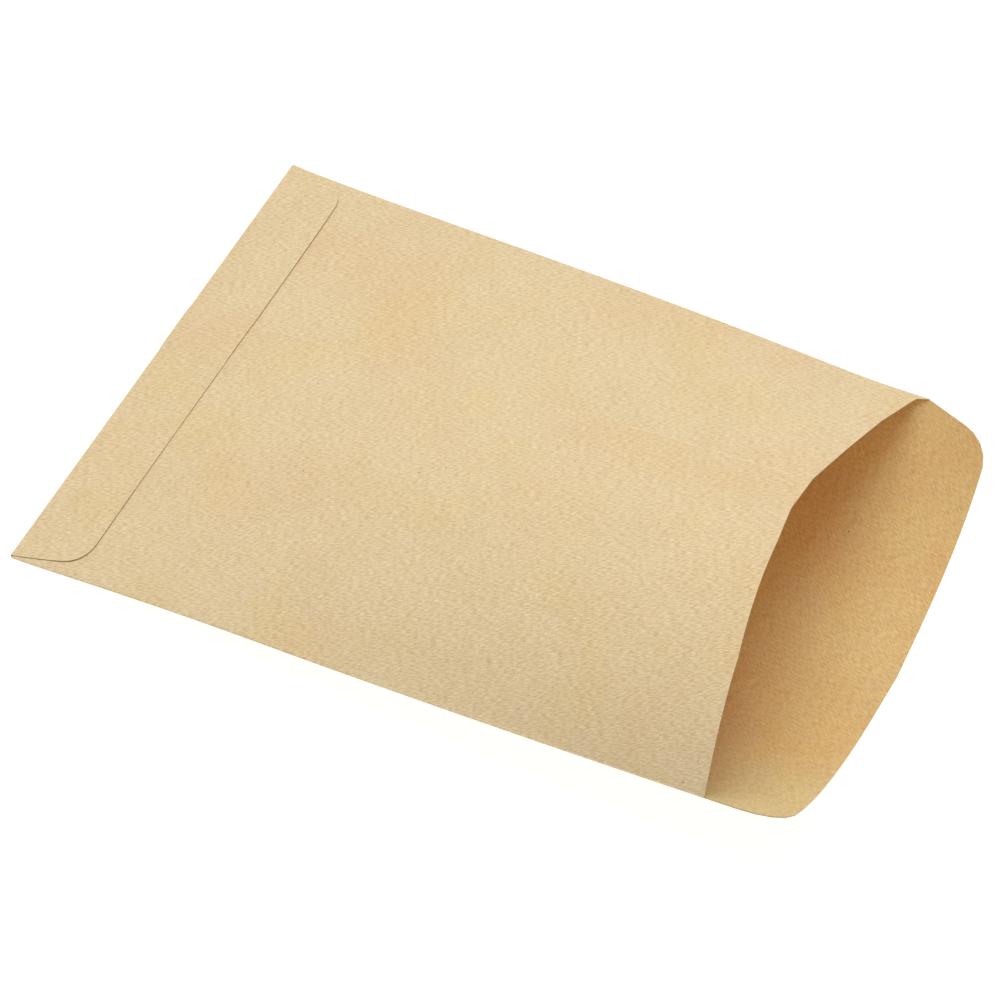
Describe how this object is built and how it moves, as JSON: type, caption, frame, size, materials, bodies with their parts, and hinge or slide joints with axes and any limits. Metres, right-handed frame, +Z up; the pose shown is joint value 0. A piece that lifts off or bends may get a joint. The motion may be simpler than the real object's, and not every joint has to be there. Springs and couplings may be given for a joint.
{
  "type": "paper envelope",
  "caption": "Small brown kraft paper pocket envelope lying on its front, glued centre seam and bottom flap up, mouth and unsealed flap open at the short end.",
  "frame": {"origin": "middle of the bounding box, on the table that the front panel lies on", "axes": "+X from the glued closed end to the open mouth and its flap, +Y from the near long fold to the far one, +Z up, out of the glued back"},
  "size_m": [0.136, 0.0904, 0.0291],
  "materials": {
    "kraft_paper": "matt"
  },
  "bodies": {
    "root": {"envelope_sheet": "kraft_paper"}
  },
  "joints": []
}
